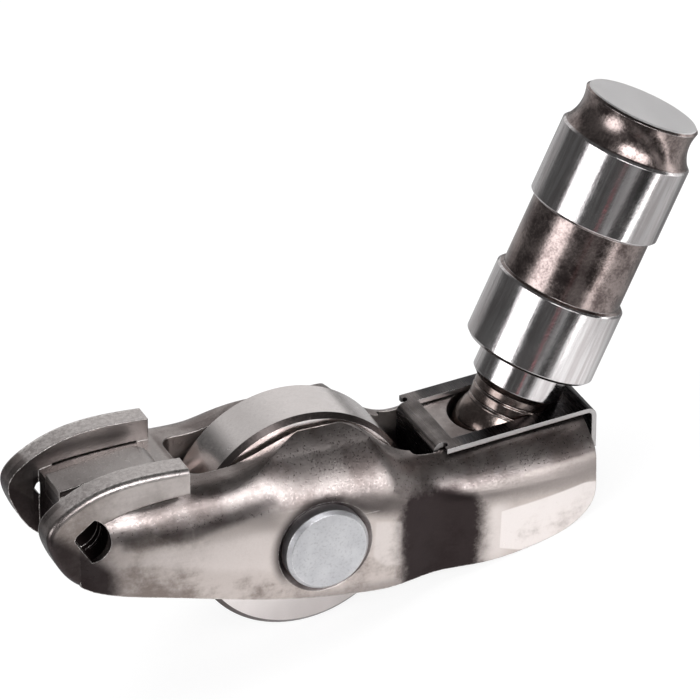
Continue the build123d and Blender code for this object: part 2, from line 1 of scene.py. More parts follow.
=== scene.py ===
import json
import logging
import math
from dataclasses import dataclass, field
from enum import Enum

import bmesh
import bpy
from mathutils import Matrix, Vector


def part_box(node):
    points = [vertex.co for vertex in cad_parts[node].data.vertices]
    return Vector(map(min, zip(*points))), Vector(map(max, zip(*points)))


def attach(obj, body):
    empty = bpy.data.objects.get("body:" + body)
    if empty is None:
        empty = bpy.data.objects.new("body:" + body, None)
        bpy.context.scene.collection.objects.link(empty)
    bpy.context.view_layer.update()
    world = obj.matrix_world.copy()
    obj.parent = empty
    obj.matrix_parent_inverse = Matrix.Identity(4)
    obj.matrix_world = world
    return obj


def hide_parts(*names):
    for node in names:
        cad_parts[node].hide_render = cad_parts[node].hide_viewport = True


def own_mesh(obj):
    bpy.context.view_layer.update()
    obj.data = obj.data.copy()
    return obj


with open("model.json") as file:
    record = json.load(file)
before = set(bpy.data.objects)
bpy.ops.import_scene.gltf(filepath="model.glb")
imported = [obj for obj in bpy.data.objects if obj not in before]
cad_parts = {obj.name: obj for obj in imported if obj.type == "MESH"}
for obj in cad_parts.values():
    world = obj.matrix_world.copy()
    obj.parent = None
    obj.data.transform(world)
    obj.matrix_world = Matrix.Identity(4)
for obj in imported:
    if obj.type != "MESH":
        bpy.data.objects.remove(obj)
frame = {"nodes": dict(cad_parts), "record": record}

MM = 0.001
LOG = logging.getLogger("rocker_arm")
WHITE = (1.0, 1.0, 1.0, 1.0)
# Numbers of the Mix node's colour sockets, whose names its other sockets share.
MIX_FIRST, MIX_SECOND, MIX_RESULT = 6, 7, 2
Material = bpy.types.Material
Socket = bpy.types.NodeSocket
NodeValue = float | tuple | Socket
Settings = dict[str, object]
Inputs = dict[str | int, NodeValue]
# Place in the arm's side view: along the arm and out of the web, in millimetres.
SidePoint = tuple[float, float]
# Where a step begins and where it is full, in millimetres.
Span = tuple[float, float]
Triple = tuple[float, float, float]
# A wobbly border follows a noise this wide, and strays along the arm and out of the web by these multiples of
# its wobble as the noise goes from 0 to 1.
BORDER_NOISE_MM = 2.2
BORDER_REACH = (4.0, -3.0)


class Node(Enum):
    """The CAD nodes that this scene dresses one by one."""

    ARM = "rocker_body"
    PIN = "axle_pin"
    ROLLER = "roller"
    NEAR_WASHER = "near_side_washer"
    FAR_WASHER = "far_side_washer"
    CLIP = "retaining_clip"
    BALL_HEAD = "plunger_ball_head"
    LOWER_PLUNGER = "lower_plunger"
    CHECK_BALL = "check_ball"
    CHECK_SPRING = "check_ball_spring"
    CAGE = "check_valve_cage"
    PLUNGER_SPRING = "plunger_spring"
    RING = "retaining_ring"
    LIFTER = "lifter_body"


def linear(hex_colour: str) -> tuple[float, float, float, float]:
    """Turns an sRGB hex colour into the linear colour that the shaders use.

    Args:
        hex_colour: six hex digits after a hash sign.

    Returns:
        Red, green, blue and an alpha of 1.
    """
    values = []
    for start in (1, 3, 5):
        share = int(hex_colour[start:start + 2], 16) / 255
        values.append(share / 12.92 if share <= 0.04045 else ((share + 0.055) / 1.055) ** 2.4)
    return (values[0], values[1], values[2], 1.0)


def add_node(
    tree: bpy.types.NodeTree,
    kind: str,
    settings: Settings | None = None,
    inputs: Inputs | None = None,
) -> bpy.types.Node:
    """Adds one node with its settings and links.

    Args:
        tree: the node tree that takes the node.
        kind: the node's type name.
        settings: the node's own properties.
        inputs: a value for each socket, or the socket that feeds it.

    Returns:
        The new node.
    """
    node = tree.nodes.new(kind)
    for name, value in (settings or {}).items():
        setattr(node, name, value)
    for key, value in (inputs or {}).items():
        if isinstance(value, Socket):
            tree.links.new(value, node.inputs[key])
        else:
            node.inputs[key].default_value = value
    return node


@dataclass(frozen=True)
class ArmAxes:
    """The arm's own axes: origin in the axle's middle, +X to the tail, +Z out of the web."""

    lean_deg: float = 25.5

    @property
    def tilt(self) -> float:
        """Angle by which the tail hangs below the axle as the arm lies.

        Returns:
            The angle in radians.
        """
        mounts = {mount["name"]: mount for mount in frame["record"]["mounts"]}
        axis = mounts["lifter_shank"]["axis"]
        return math.atan2(axis[0], axis[2]) - math.radians(self.lean_deg)

    @property
    def axle_height(self) -> float:
        """Height of the axle over the floor, which is the roller's radius."""
        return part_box(Node.ROLLER.value)[1][2] / 2

    @property
    def matrix(self) -> Matrix:
        """Turns a place in the arm's axes, in metres, into the row frame."""
        return Matrix.Translation((0, 0, self.axle_height)) @ Matrix.Rotation(self.tilt, 4, "Y")

    def point(self, x: float, y: float, z: float) -> Vector:
        """Place in the row frame of a point given in the arm's axes in millimetres."""
        return self.matrix @ Vector((x * MM, y * MM, z * MM))

    def direction(self, x: float, y: float, z: float) -> Vector:
        """Direction in the row frame of one given in the arm's axes."""
        return (self.matrix.to_3x3() @ Vector((x, y, z))).normalized()

    def coordinates(self, tree: bpy.types.NodeTree) -> Socket:
        """Adds the nodes that give a surface point in the arm's axes, in metres.

        Args:
            tree: the material's node tree.

        Returns:
            The vector socket with the point.
        """
        back = self.matrix.inverted()
        source = add_node(tree, "ShaderNodeTexCoord")
        placed = add_node(tree, "ShaderNodeMapping", {"vector_type": "POINT"}, {
            "Vector": source.outputs["Object"],
            "Location": tuple(back.to_translation()),
            "Rotation": tuple(back.to_euler()),
        })
        return placed.outputs["Vector"]


AXES = ArmAxes()


class Graph:
    """A node tree with the sums that the floor, the room and the finishes share."""

    def __init__(self, owner: Material | bpy.types.World) -> None:
        """Empties the owner's node tree.

        Args:
            owner: the material or world that the nodes are for.
        """
        owner.use_nodes = True
        self.owner = owner
        self.tree = owner.node_tree
        self.tree.nodes.clear()

    def node(
        self, kind: str, settings: Settings | None = None, inputs: Inputs | None = None,
    ) -> bpy.types.Node:
        """Adds one node to this tree."""
        return add_node(self.tree, kind, settings, inputs)

    def sum(self, operation: str, *values: NodeValue) -> Socket:
        """Result of one Math node on the values."""
        return self.node("ShaderNodeMath", {"operation": operation}, dict(enumerate(values))).outputs[0]

    def fold(self, operation: str, *values: NodeValue) -> Socket:
        """Joins values one after the other with the same Math operation.

        Args:
            operation: an operation that doesn't mind the order of its values.
            values: two or more values.

        Returns:
            The result's socket.
        """
        result, *others = values
        for value in others:
            result = self.sum(operation, result, value)
        return result

    def weigh(self, *terms: tuple[NodeValue, float]) -> Socket:
        """Adds values up, each times its weight.

        Args:
            terms: pairs of a value and its weight.

        Returns:
            The total's socket.
        """
        total: NodeValue = 0.0
        for value, weight in terms:
            total = self.sum("MULTIPLY_ADD", value, weight, total)
        return total

    def ramp(self, value: NodeValue, start: float, end: float, low: float = 0.0, high: float = 1.0) -> Socket:
        """Smooth step of a value.

        Args:
            value: what the step follows.
            start: the value at which the result is low.
            end: the value at which the result is high.
            low: result at and before start.
            high: result at and after end.

        Returns:
            The stepped value's socket.
        """
        inputs = {"Value": value, "From Min": start, "From Max": end, "To Min": low, "To Max": high}
        return self.node("ShaderNodeMapRange", {"interpolation_type": "SMOOTHSTEP"}, inputs).outputs["Result"]

    def step(
        self, place: NodeValue, start_mm: float, end_mm: float, low: float = 0.0, high: float = 1.0,
    ) -> Socket:
        """Smooth step of a place or distance, with both ends in millimetres."""
        return self.ramp(place, start_mm * MM, end_mm * MM, low, high)

    def blend(self, share: NodeValue, first: NodeValue | str, second: NodeValue | str) -> Socket:
        """Colour between two others.

        Args:
            share: how much of the second colour shows, from 0 to 1.
            first: the first colour, or its hex value.
            second: the second colour, or its hex value.

        Returns:
            The colour's socket.
        """
        sides = [linear(side) if isinstance(side, str) else side for side in (first, second)]
        inputs = {"Factor": share, MIX_FIRST: sides[0], MIX_SECOND: sides[1]}
        return self.node("ShaderNodeMix", {"data_type": "RGBA"}, inputs).outputs[MIX_RESULT]

    def parts(self, vector: Socket) -> tuple[Socket, Socket, Socket]:
        """A vector's three values."""
        values = self.node("ShaderNodeSeparateXYZ", inputs={"Vector": vector}).outputs
        return values["X"], values["Y"], values["Z"]


class PieceGraph(Graph):
    """A piece's material, laid out in the arm's own axes."""

    def __init__(self, name: str) -> None:
        """Starts an empty node material called name."""
        super().__init__(bpy.data.materials.new(name))
        self.place = AXES.coordinates(self.tree)

    def noise(
        self, size_mm: float, detail: float = 3, stretch: Triple = (1, 1, 1), roughness: float = 0.55,
    ) -> Socket:
        """Noise whose features are size_mm across.

        Args:
            size_mm: width of the pattern's features.
            detail: number of finer octaves.
            stretch: how many times longer the features are along each of the arm's axes.
            roughness: weight of the finer octaves.

        Returns:
            The noise value's socket. Nearly all of it lies between 0.3 and 0.7.
        """
        scale = tuple(1 / (size_mm * MM * part) for part in stretch)
        mapped = self.node("ShaderNodeMapping", inputs={"Vector": self.place, "Scale": scale})
        inputs = {"Vector": mapped.outputs["Vector"], "Scale": 1.0, "Detail": detail, "Roughness": roughness}
        return self.node("ShaderNodeTexNoise", inputs=inputs).outputs["Fac"]

    def facing(self) -> tuple[Socket, Socket, Socket]:
        """The surface normal in the arm's axes.

        Returns:
            Its three values.
        """
        source = self.node("ShaderNodeTexCoord")
        turned = self.node("ShaderNodeMapping", {"vector_type": "NORMAL"}, {
            "Vector": source.outputs["Normal"],
            "Rotation": tuple(AXES.matrix.inverted().to_euler()),
        })
        return self.parts(turned.outputs["Vector"])

    def radius(self, first: NodeValue, second: NodeValue) -> Socket:
        """Distance from an axis, given the two places across it."""
        squares = [self.sum("MULTIPLY", side, side) for side in (first, second)]
        return self.sum("SQRT", self.sum("ADD", *squares))

    def beyond(self, x: NodeValue, z: NodeValue, a: SidePoint, b: SidePoint, soft_mm: float) -> Socket:
        """One on the left of the line from a to b in the arm's side view, and zero on its right.

        Args:
            x: place along the arm in metres.
            z: place out of the web in metres.
            a: first point of the line.
            b: second point of the line.
            soft_mm: width of the soft border.

        Returns:
            The mask's socket.
        """
        length = math.hypot(b[0] - a[0], b[1] - a[1])
        across = (-(b[1] - a[1]) / length, (b[0] - a[0]) / length)
        offset = -(across[0] * a[0] + across[1] * a[1]) * MM
        along_x = self.sum("MULTIPLY", x, across[0])
        along_z = self.sum("MULTIPLY_ADD", z, across[1], offset)
        return self.step(self.sum("ADD", along_x, along_z), -soft_mm / 2, soft_mm / 2)

    def edges(self, width_mm: float) -> Socket:
        """Mask of the sharp edges, where the rounded normal leaves the true one.

        Args:
            width_mm: how far the mask reaches from an edge.

        Returns:
            The mask's socket.
        """
        rounded = self.node("ShaderNodeBevel", {"samples": 6}, {"Radius": width_mm * MM})
        true = self.node("ShaderNodeNewGeometry")
        inputs = {0: rounded.outputs["Normal"], 1: true.outputs["Normal"]}
        cosine = self.node("ShaderNodeVectorMath", {"operation": "DOT_PRODUCT"}, inputs).outputs["Value"]
        begins, full = 0.995, 0.86
        return self.ramp(cosine, begins, full)

    def metal(
        self,
        colour: NodeValue,
        roughness: NodeValue,
        relief: NodeValue,
        depth_mm: float,
        edge_mm: NodeValue,
        lift: NodeValue | None = None,
    ) -> Material:
        """Ends the tree in a metal shader.

        Args:
            colour: the metal's reflection colour.
            roughness: its roughness.
            relief: height of the fine relief, from 0 to 1.
            depth_mm: what a relief of 1 stands for.
            edge_mm: radius to which sharp edges look rounded.
            lift: how far the surface is rounded over towards the arm's +Z, as on a wider bend.

        Returns:
            The finished material.
        """
        radius = self.sum("MULTIPLY", edge_mm, MM)
        normal = self.node("ShaderNodeBevel", {"samples": 8}, {"Radius": radius}).outputs["Normal"]
        if lift is not None:
            settings = {"vector_type": "NORMAL", "convert_from": "OBJECT", "convert_to": "WORLD"}
            up = self.node("ShaderNodeVectorTransform", settings, {"Vector": tuple(AXES.direction(0, 0, 1))})
            added = self.node("ShaderNodeVectorMath", {"operation": "SCALE"}, {
                0: up.outputs["Vector"], "Scale": lift,
            })
            leaned = self.node("ShaderNodeVectorMath", {"operation": "ADD"}, {
                0: normal, 1: added.outputs["Vector"],
            })
            normal = self.node("ShaderNodeVectorMath", {"operation": "NORMALIZE"}, {
                0: leaned.outputs["Vector"],
            }).outputs["Vector"]
        bump = self.node("ShaderNodeBump", inputs={
            "Strength": 1.0,
            "Distance": depth_mm * MM,
            "Height": relief,
            "Normal": normal,
        })
        shader = self.node("ShaderNodeBsdfPrincipled", inputs={
            "Base Color": colour,
            "Metallic": 1.0,
            "Roughness": roughness,
            "Normal": bump.outputs["Normal"],
        })
        self.node("ShaderNodeOutputMaterial", inputs={"Surface": shader.outputs["BSDF"]})
        return self.owner


@dataclass(frozen=True)
class Patch:
    """Convex area of the arm's side view that looks different from the steel round it.

    Its corners go round anticlockwise, soft_mm is the width of its border, wobble_mm is how far
    the border strays from the straight line, and share is how much of the difference shows.
    """

    corners: tuple[SidePoint, ...]
    soft_mm: float
    wobble_mm: float = 0.0
    share: float = 1.0

    def mask(self, g: PieceGraph) -> Socket:
        """Adds the patch's mask.

        Args:
            g: the material's graph.

        Returns:
            The mask's socket.
        """
        x, _, z = g.parts(g.place)
        if self.wobble_mm:
            stray = g.noise(BORDER_NOISE_MM, detail=6, roughness=0.78)
            reaches = [times * self.wobble_mm * MM for times in BORDER_REACH]
            x, z = (
                g.sum("ADD", place, g.sum("MULTIPLY_ADD", stray, reach, -reach / 2))
                for place, reach in zip((x, z), reaches)
            )
        ends = self.corners[1:] + self.corners[:1]
        sides = [g.beyond(x, z, a, b, self.soft_mm) for a, b in zip(self.corners, ends)]
        return g.fold("MULTIPLY", self.share, *sides)


class ArmPlaces:
    """Masks of the places on the stamping that the press and the drum left different, and of the painted
    shade.
    """

    # Lines of the side view. What they part off lies on their left.
    over_rail_foot: tuple[SidePoint, SidePoint] = ((-24.0, 5.8), (-11.4, 7.2))
    under_rail_foot: tuple[SidePoint, SidePoint] = ((-11.4, 7.0), (-24.0, 5.6))
    over_rail_edge: tuple[SidePoint, SidePoint] = ((-26.0, 7.4), (-11.0, 8.6))
    # Across the arm: the walls' outer side, the rails' outer rim, the pad's side, the rails' inner sides
    # and the inside of the eye.
    outer_side: Span = (5.1, 5.6)
    outer_rim: Span = (5.3, 5.5)
    rim_end: Span = (5.85, 5.6)
    pad_side: Span = (2.6, 3.0)
    inner_side: Span = (4.6, 4.4)
    in_eye: Span = (6.0, 5.85)
    # Along the arm: the ends of the rails, of what lies behind and between them, and of the bend.
    rail_end: Span = (-11.2, -11.6)
    rail_front: Span = (-25.0, -16.0)
    past_rails: Span = (-11.6, -11.0)
    between_end: Span = (-11.4, -12.0)
    bend_front: Span = (-19.0, -17.6)
    bend_end: Span = (26.0, 24.6)
    # How high up the bend begins, and where its lift sets in at the tail and over the axle.
    bend_foot: Span = (1.6, 2.6)
    tail_front: Span = (10.0, 14.0)
    tail_foot: Span = (0.4, 1.9)
    tail_lift: float = 0.5
    crest_front: Span = (-7.0, -1.0)
    crest_foot: Span = (1.6, 3.2)
    crest_lift: float = 0.26
    # The painted shadow, a dark crescent round the pin: its reach from the axle, its side, the pin's rim and
    # its strength.
    pin_shadow_reach: Span = (5.4, 4.3)
    pin_shadow_side: Span = (-1.0, 3.0)
    pin_rim: Span = (3.9, 4.0)
    pin_shadow_share: float = 0.85
    # Painted shade on the eye's wall, which shows only inside the hole.
    eye_shade: Patch = Patch(((-22.6, 2.4), (-19.2, 2.4), (-19.2, 6.7), (-22.6, 6.7)), 0.2, share=0.95)

    def __init__(self, g: PieceGraph) -> None:
        """Reads where a point of the surface lies and which way it faces.

        Args:
            g: the stamping's graph.
        """
        self.g = g
        self.x, y, self.z = g.parts(g.place)
        self.across = g.sum("ABSOLUTE", y)
        _, facing_y, self.facing_z = g.facing()
        self.sideways = g.sum("ABSOLUTE", facing_y)
        self.outside = g.step(self.across, *self.outer_side)

    def walls(self) -> Socket:
        """Mask of the flat of both side walls."""
        return self.g.ramp(self.sideways, 0.955, 0.99)

    def bend(self) -> Socket:
        """Mask of the drawn bend between web and walls, where the light flows without a break.

        Returns:
            The mask's socket.
        """
        g = self.g
        under_rail = g.beyond(self.x, self.z, *self.under_rail_foot, 0.4)
        return g.fold(
            "MULTIPLY",
            self.outside,
            g.step(self.z, *self.bend_foot),
            g.step(self.x, *self.bend_front),
            g.step(self.x, *self.bend_end),
            g.sum("MAXIMUM", under_rail, g.step(self.x, *self.past_rails)),
        )

    def lift(self) -> Socket:
        """How far the bend is rounded over: more at the tail, where it was drawn over a wider radius.

        Returns:
            The lift's socket.
        """
        g = self.g
        at_tail = g.step(self.x, *self.tail_front)
        tail = g.sum("MULTIPLY", at_tail, g.step(self.z, *self.tail_foot, high=self.tail_lift))
        crest = g.fold(
            "MULTIPLY",
            g.sum("SUBTRACT", 1.0, at_tail),
            g.step(self.z, *self.crest_foot, high=self.crest_lift),
            g.step(self.x, *self.crest_front),
        )
        return g.sum("MULTIPLY", self.outside, g.sum("ADD", tail, crest))

    def rail_sides(self) -> Socket:
        """Mask of the rails' outer sides, which the press rubbed bright.

        Returns:
            The mask's socket.
        """
        g = self.g
        over = g.beyond(self.x, self.z, *self.over_rail_foot, 0.4)
        along = g.sum("MULTIPLY", g.step(self.x, *self.rail_end), g.step(self.x, *self.rail_front))
        return g.sum("MULTIPLY", over, along)

    def rail_tops(self) -> Socket:
        """Mask of all that lies as high as the rails' cut faces."""
        over = self.g.beyond(self.x, self.z, *self.over_rail_edge, 0.3)
        return self.g.sum("MULTIPLY", over, self.g.step(self.x, *self.rail_end))

    def burrs(self, speck: Socket) -> Socket:
        """Mask of the broken bright line that shearing left along the rails' outer rims.

        Args:
            speck: the noise that breaks the line.

        Returns:
            The mask's socket.
        """
        g = self.g
        return g.fold(
            "MULTIPLY",
            self.rail_tops(),
            g.step(self.across, *self.outer_rim),
            g.step(self.across, *self.rim_end),
            g.ramp(speck, 0.42, 0.58, high=0.85),
        )

    def cut_faces(self) -> Socket:
        """Mask of the sheared top faces of the two guide rails, which leaves out the pad between them.

        Returns:
            The mask's socket.
        """
        g = self.g
        up = g.ramp(self.facing_z, 0.55, 0.8)
        return g.fold("MULTIPLY", self.rail_tops(), up, g.step(self.across, *self.pad_side))

    def painted_shade(self, patches: tuple[Patch, ...], struck: Socket) -> Socket:
        """Mask of all the painted shade.

        Args:
            patches: the walls' areas of painted shade.
            struck: mask of the flats, which stay bright.

        Returns:
            The mask's socket.
        """
        g = self.g
        from_axle = g.radius(self.x, self.z)
        # Painted shadow in the gap round the pin.
        pin_shadow = g.fold(
            "MULTIPLY",
            g.step(from_axle, *self.pin_shadow_reach),
            g.step(g.sum("SUBTRACT", self.z, self.x), *self.pin_shadow_side),
            g.step(from_axle, *self.pin_rim),
            self.pin_shadow_share,
        )
        # Painted shade inside the eye.
        eye_shade = g.sum("MULTIPLY", self.eye_shade.mask(g), g.step(self.across, *self.in_eye))
        shown = g.fold("MAXIMUM", pin_shadow, eye_shade, *(patch.mask(g) for patch in patches))
        # Painted shade on the pad and the rails' inner sides, between the rails.
        painted_shade_between_rails = g.fold(
            "MULTIPLY",
            g.step(self.across, *self.inner_side),
            g.ramp(self.sideways, 0.5, 0.9, 0.5, 0.85),
            g.step(self.x, *self.between_end),
        )
        shown = g.sum("MULTIPLY", shown, g.sum("SUBTRACT", 1.0, struck))
        return g.sum("MAXIMUM", shown, painted_shade_between_rails)


@dataclass(frozen=True)
class TumbledSteel:
    """Case-hardened sheet steel out of the tumbling drum, lightly browned by heat and oil.

    To the eye it is a warm grey metal with a fine grain that sparkles at the rim of each highlight,
    duller and paler on the flats that the press struck, and painted darker as shade in its hollows.
    """

    name: str = "tumbled_case_hardened_steel"
    tint: str = "#b9b0ad"
    shade: str = "#857b78"
    # Colour of the painted shade.
    painted_shade_tint: str = "#2a2223"
    flat_tint: str = "#cac0bb"
    flat_shade: str = "#8f847e"
    lobe_tint: str = "#ded5d1"
    struck_tint: str = "#e9e2df"
    cut_tint: str = "#cfc8c6"
    cut_shade: str = "#a39b99"
    edge_tint: str = "#efeae6"
    roughness: float = 0.33
    flat_roughness: float = 0.44
    grain_mm: float = 0.18
    cloud_mm: float = 4.0
    grain_depth_mm: float = 0.010
    edge_mm: float = 0.16
    bend_mm: float = 1.5
    # How much of the struck tint the rails' sides take, how much smoother the struck flats are, and how far
    # the drag marks stand out, and how much farther on the walls.
    rail_share: float = 0.45
    struck_polish: float = 0.05
    drag_share: float = 0.3
    wall_drag_share: float = 0.9
    # The pale lobe between nose and axle.
    lobe: Patch = Patch(
        ((-17.2, 1.4), (-9.0, -0.6), (-5.0, -1.8), (-4.6, 2.8), (-9.5, 3.2), (-16.5, 3.3)), 1.6, 0.4, 0.7,
    )
    # The bright flats that the press struck: at the tail, behind the axle, and the rubbed rim of the first.
    struck: tuple[Patch, ...] = (
        Patch((
            (16.75, -4.4), (19.0, -5.0), (22.0, -4.75), (25.0, -2.9),
            (26.4, -1.9), (26.3, 0.1), (25.1, 0.35), (16.9, -0.65),
        ), 0.22),
        Patch(((4.5, -2.1), (5.6, -3.4), (7.35, -3.8), (7.4, 0.6), (4.8, 1.35)), 0.4, share=0.4),
        Patch(((15.2, -5.6), (17.4, -5.6), (17.4, 0.2), (15.7, 0.0)), 1.6, share=0.5),
    )
    # The places painted dark as shade: the waist, over the axle, the wall's foot, over the tail's flat,
    # the nose's underside and two lengths of the drawn bend.
    painted_shade: tuple[Patch, ...] = (
        Patch(((7.3, -9.0), (15.4, -9.0), (15.4, 1.6), (12.2, 3.2), (7.0, 3.2)), 2.4, 0.8, 0.975),
        Patch(((-0.5, 4.4), (4.4, 1.9), (8.4, 0.9), (9.5, 2.6), (3.5, 4.8)), 1.8, 0.4, 0.75),
        Patch(((-4.0, -7.4), (7.6, -7.4), (7.6, -5.0), (-4.0, -4.5)), 1.2, 0.3, 0.4),
        Patch(((13.5, 0.2), (27.0, 0.2), (27.0, 2.6), (13.5, 3.0)), 1.6, 0.4, 0.45),
        Patch(((-26.0, -2.0), (-18.6, -2.0), (-19.3, 2.0), (-24.4, 6.2), (-26.0, 6.2)), 1.8, 0.4, 0.93),
        Patch(((-18.6, 3.5), (-12.0, 3.4), (-12.0, 4.6), (-18.6, 4.8)), 0.9, 0.2, 0.6),
        Patch(((-12.4, 3.4), (-4.0, 4.9), (-4.5, 5.9), (-12.4, 4.6)), 0.9, 0.2, 0.6),
    )

    def build(self) -> Material:
        """Builds the material with its struck flats, cut faces, painted shade and worn edges.

        Returns:
            The material.
        """
        g = PieceGraph(self.name)
        arm = ArmPlaces(g)
        cloud = g.noise(self.cloud_mm, detail=5, roughness=0.6)
        grain = g.noise(self.grain_mm, detail=2)
        speck = g.noise(self.grain_mm * 2.2, detail=3, roughness=0.7)
        drag = g.noise(self.grain_mm * 2.4, detail=3, stretch=(8, 1, 1), roughness=0.6)
        worked = g.weigh((cloud, 0.7), (drag, 0.13), (speck, 0.17))
        walls = arm.walls()
        struck = g.sum("MULTIPLY", g.fold("MAXIMUM", *(patch.mask(g) for patch in self.struck)), walls)

        # Painted light and shade: the walls are painted paler towards the axle and darker lower down, at the
        # nose's underside.
        painted_light_toward_axle = g.step(arm.x, -17.0, -8.0, -0.08, 0.14)
        painted_shade_low = g.step(arm.z, -2.6, 1.0, -0.09, 0.05)
        mottle_and_painted_light = g.ramp(g.fold("ADD", worked, painted_light_toward_axle, painted_shade_low), 0.36, 0.62)
        flat = g.blend(mottle_and_painted_light, self.flat_shade, self.flat_tint)
        flat = g.blend(self.lobe.mask(g), flat, self.lobe_tint)
        colour = g.blend(g.ramp(cloud, 0.35, 0.68), self.shade, self.tint)
        colour = g.blend(walls, colour, flat)
        rubbed = g.sum("MULTIPLY", struck, g.ramp(worked, 0.34, 0.52, 0.6, 1.0))
        colour = g.blend(rubbed, colour, self.struck_tint)
        # Painted shade: the hollows, the pin's crescent, the eye and the pad between the rails are painted
        # dark.
        colour = g.blend(arm.painted_shade(self.painted_shade, struck), colour, self.painted_shade_tint)
        sheared = g.blend(g.ramp(speck, 0.38, 0.6), self.cut_shade, self.cut_tint)
        colour = g.blend(arm.cut_faces(), colour, sheared)
        colour = g.blend(g.sum("MULTIPLY", arm.rail_sides(), self.rail_share), colour, self.struck_tint)
        worn = g.sum("MULTIPLY", g.edges(self.edge_mm), g.ramp(speck, 0.36, 0.60, 0.1, 1.0))
        colour = g.blend(g.sum("MAXIMUM", worn, arm.burrs(speck)), colour, self.edge_tint)

        roughness = g.fold(
            "ADD",
            g.ramp(walls, 0.0, 1.0, self.roughness, self.flat_roughness),
            g.sum("MULTIPLY", struck, -self.struck_polish),
            g.ramp(grain, 0.3, 0.7, -0.06, 0.08),
            g.sum("MULTIPLY", g.ramp(worked, 0.35, 0.65, 0.04, -0.07), walls),
        )
        marks = g.sum("MULTIPLY", drag, g.sum("MULTIPLY_ADD", walls, self.wall_drag_share, self.drag_share))
        relief = g.sum("ADD", grain, marks)
        rounding = g.sum("MULTIPLY_ADD", arm.bend(), self.bend_mm, self.edge_mm)
        return g.metal(colour, roughness, relief, self.grain_depth_mm, rounding, arm.lift())


@dataclass(frozen=True)
class GroundSteel:
    """Hardened steel ground on centres: bright, with hair-fine rings round its axis.

    The light runs over it in long streaks along the axis, slightly broken by the grinding.
    """

    name: str
    tint: str
    shade: str
    roughness: float = 0.16
    spread: float = 0.08
    cloud_mm: float = 3.0
    fine_mm: float = 0.25
    contrast: float = 1.0
    line_mm: float = 0.09
    line_stretch: Triple = (60.0, 60.0, 1.0)
    line_depth_mm: float = 0.0015
    edge_mm: float = 0.1
    edge_share: float = 0.7
    fine_share: float = 0.25
    # Colour of painted shade on the rounded rim between tread and sides, where it differs.
    painted_rim_shade: str = ""

    def build(self) -> Material:
        """Builds the material with grinding lines across the piece's axis.

        Returns:
            The material.
        """
        g = PieceGraph(self.name)
        cloud = g.noise(self.cloud_mm, detail=5, roughness=0.62)
        fine = g.noise(self.fine_mm, detail=2)
        lines = g.noise(self.line_mm, detail=2, stretch=self.line_stretch)
        colour = g.blend(g.ramp(cloud, 0.35, 0.7, 1.0 - self.contrast, 1.0), self.shade, self.tint)
        # Painted shade: the rim between tread and sides is painted in its own dark colour.
        if self.painted_rim_shade:
            _, facing_y, _ = g.facing()
            side = g.sum("ABSOLUTE", facing_y)
            rim_shade_mask = g.sum("MULTIPLY", g.ramp(side, 0.25, 0.5), g.ramp(side, 0.97, 0.9))
            colour = g.blend(rim_shade_mask, colour, self.painted_rim_shade)
        colour = g.blend(g.sum("MULTIPLY", g.edges(self.edge_mm), self.edge_share), colour, self.tint)
        roughness = g.ramp(cloud, 0.3, 0.7, self.roughness, self.roughness + self.spread)
        roughness = g.sum("ADD", roughness, g.ramp(fine, 0.35, 0.75, -0.02, 0.05))
        relief = g.sum("MULTIPLY_ADD", fine, self.fine_share, lines)
        return g.metal(colour, roughness, relief, self.line_depth_mm, self.edge_mm)


@dataclass(frozen=True)
class AdjusterSteel:
    """The adjuster's outer body: bright ground bands, and a groove and a waist left brown from hardening."""

    name: str = "ground_and_browned_adjuster_steel"
    ground_tint: str = "#dedbdb"
    ground_shade: str = "#c3bdbd"
    brown_tint: str = "#aea09c"
    brown_shade: str = "#6b5f5d"
    end_tint: str = "#f2f0f0"
    ground_roughness: float = 0.13
    brown_roughness: float = 0.2
    ball_mm: Triple = (19.64, 0.0, 3.22)
    # Distance from the axis at which the steel is ground, height over the ball of the end face, and the
    # widths of both borders.
    ground_radius_mm: float = 5.85
    end_mm: float = 32.15
    ground_border_mm: float = 0.1
    end_border_mm: float = 0.03
    end_dullness: float = 0.3
    cloud_mm: float = 2.6
    streak_mm: float = 0.5
    line_mm: float = 0.085
    fine_mm: float = 0.22
    depth_mm: float = 0.003
    edge_mm: float = 0.1
    edge_share: float = 0.8

    def build(self) -> Material:
        """Builds the material, parted by the distance from the adjuster's own axis.

        Returns:
            The material.
        """
        g = PieceGraph(self.name)
        ball = tuple(side * MM for side in self.ball_mm)
        moved = g.node("ShaderNodeVectorMath", {"operation": "SUBTRACT"}, {0: g.place, 1: ball})
        own = g.node("ShaderNodeMapping", inputs={
            "Vector": moved.outputs["Vector"],
            "Rotation": (0.0, math.radians(-AXES.lean_deg), 0.0),
        })
        g.place = own.outputs["Vector"]
        x, y, z = g.parts(g.place)
        ground = g.step(g.radius(x, y), self.ground_radius_mm - self.ground_border_mm, self.ground_radius_mm)
        end = g.step(z, self.end_mm - self.end_border_mm, self.end_mm)
        cloud = g.noise(self.cloud_mm, detail=5, roughness=0.65)
        streak = g.noise(self.streak_mm, detail=3, stretch=(1, 1, 14), roughness=0.6)
        lines = g.noise(self.line_mm, detail=2, stretch=(60, 60, 1))
        fine = g.noise(self.fine_mm, detail=2)
        mottled = g.weigh((cloud, 0.7), (fine, 0.3))
        bright = g.blend(g.ramp(streak, 0.35, 0.65), self.ground_shade, self.ground_tint)
        brown = g.blend(g.ramp(mottled, 0.38, 0.62), self.brown_shade, self.brown_tint)
        colour = g.blend(end, g.blend(ground, brown, bright), self.end_tint)
        colour = g.blend(g.sum("MULTIPLY", g.edges(self.edge_mm), self.edge_share), colour, self.ground_tint)
        roughness = g.fold(
            "ADD",
            g.ramp(ground, 0.0, 1.0, self.brown_roughness, self.ground_roughness),
            g.ramp(mottled, 0.35, 0.65, -0.03, 0.07),
            g.sum("MULTIPLY", end, self.end_dullness),
        )
        relief = g.weigh((lines, 0.5), (fine, 1.4), (streak, 2.0))
        return g.metal(colour, roughness, relief, self.depth_mm, self.edge_mm)


